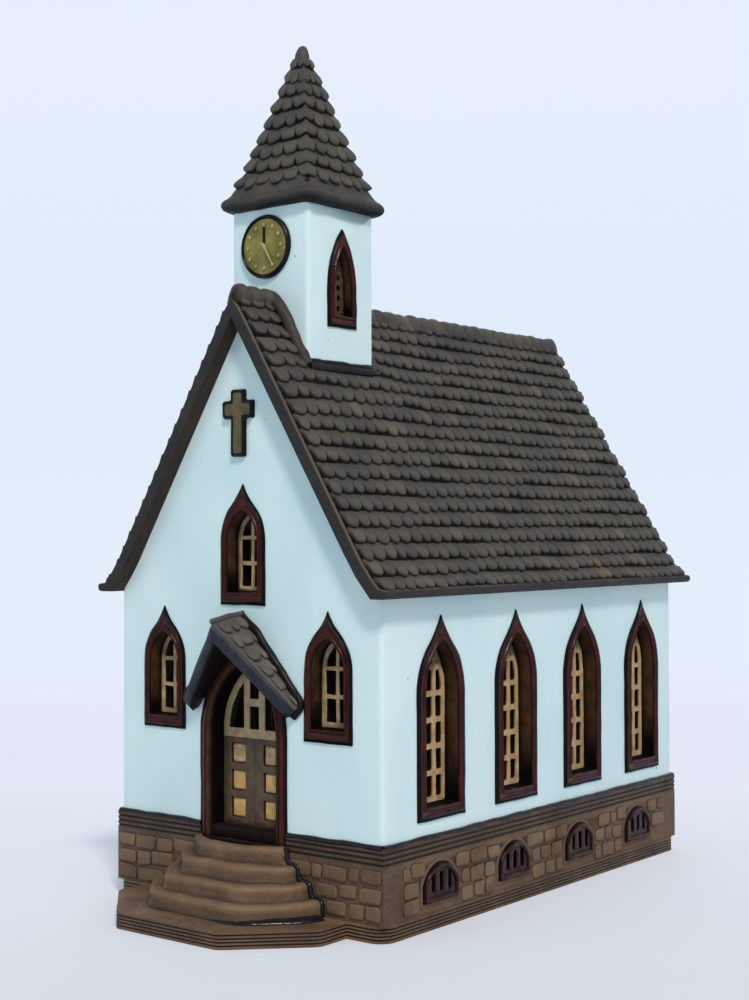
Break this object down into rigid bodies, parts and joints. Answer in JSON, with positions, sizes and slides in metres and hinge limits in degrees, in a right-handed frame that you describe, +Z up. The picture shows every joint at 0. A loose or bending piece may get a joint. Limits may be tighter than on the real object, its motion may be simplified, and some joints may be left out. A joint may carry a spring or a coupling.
{
  "type": "ceramic tealight church",
  "caption": "Ceramic village church that glows round a tealight: glazed walls, tiled roof and spire, pierced pointed windows, stone plinth and steps, and an arch behind for the candle.",
  "frame": {"origin": "on the ground, below the middle of the whole piece's box", "axes": "+X to the right as one faces the door, +Y from the front to the rear, +Z up"},
  "size_m": [0.1102, 0.197, 0.2536],
  "materials": {
    "wall_glaze": "gloss",
    "roof_clay": "satin",
    "canopy_clay": "satin",
    "stone_clay": "satin",
    "frame_glaze": "gloss",
    "lattice_clay": "matte",
    "tower_lattice_clay": "matte",
    "door_clay": "satin",
    "panel_clay": "matte",
    "gold_glaze": "gloss",
    "dark_glaze": "gloss",
    "cup_metal": "polished",
    "wax": "satin",
    "wick_cotton": "matte",
    "tab_metal": "satin"
  },
  "bodies": {
    "house": {"base_slab": "stone_clay", "canopy_left": "canopy_clay", "canopy_right": "canopy_clay", "cellar_windows_left": "frame_glaze", "cellar_windows_right": "frame_glaze", "clock_dial": "gold_glaze", "clock_hour_hand": "gold_glaze", "clock_minute_hand": "gold_glaze", "clock_rim": "dark_glaze", "cross": "gold_glaze", "door_frame": "frame_glaze", "door_leaf_left": "door_clay", "door_leaf_right": "door_clay", "door_panels": "panel_clay", "door_sill": "door_clay", "fanlight": "lattice_clay", "front_lattices": "lattice_clay", "front_steps": "stone_clay", "lattices_left": "lattice_clay", "lattices_right": "lattice_clay", "plinth_front": "stone_clay", "plinth_left": "stone_clay", "plinth_rear_left": "stone_clay", "plinth_rear_right": "stone_clay", "plinth_right": "stone_clay", "ridge_front": "roof_clay", "ridge_rear": "roof_clay", "roof_left": "roof_clay", "roof_right": "roof_clay", "spire": "roof_clay", "spire_rim": "roof_clay", "tower": "wall_glaze", "tower_lattices": "tower_lattice_clay", "wall_front": "wall_glaze", "wall_left": "wall_glaze", "wall_rear": "wall_glaze", "wall_right": "wall_glaze", "window_frame_front_left": "frame_glaze", "window_frame_front_right": "frame_glaze", "window_frame_gable": "frame_glaze", "window_frame_left_1": "frame_glaze", "window_frame_left_2": "frame_glaze", "window_frame_left_3": "frame_glaze", "window_frame_left_4": "frame_glaze", "window_frame_right_1": "frame_glaze", "window_frame_right_2": "frame_glaze", "window_frame_right_3": "frame_glaze", "window_frame_right_4": "frame_glaze", "window_frame_tower_left": "frame_glaze", "window_frame_tower_right": "frame_glaze"},
    "tealight": {"tealight_cup": "cup_metal", "tealight_wax": "wax", "tealight_wick": "wick_cotton", "tealight_wick_tab": "tab_metal"}
  },
  "joints": [
    {"name": "tealight_slide", "type": "slide", "parent": "house", "child": "tealight", "axis": [0, 1, 0], "range_m": [0, 0.105]}
  ]
}
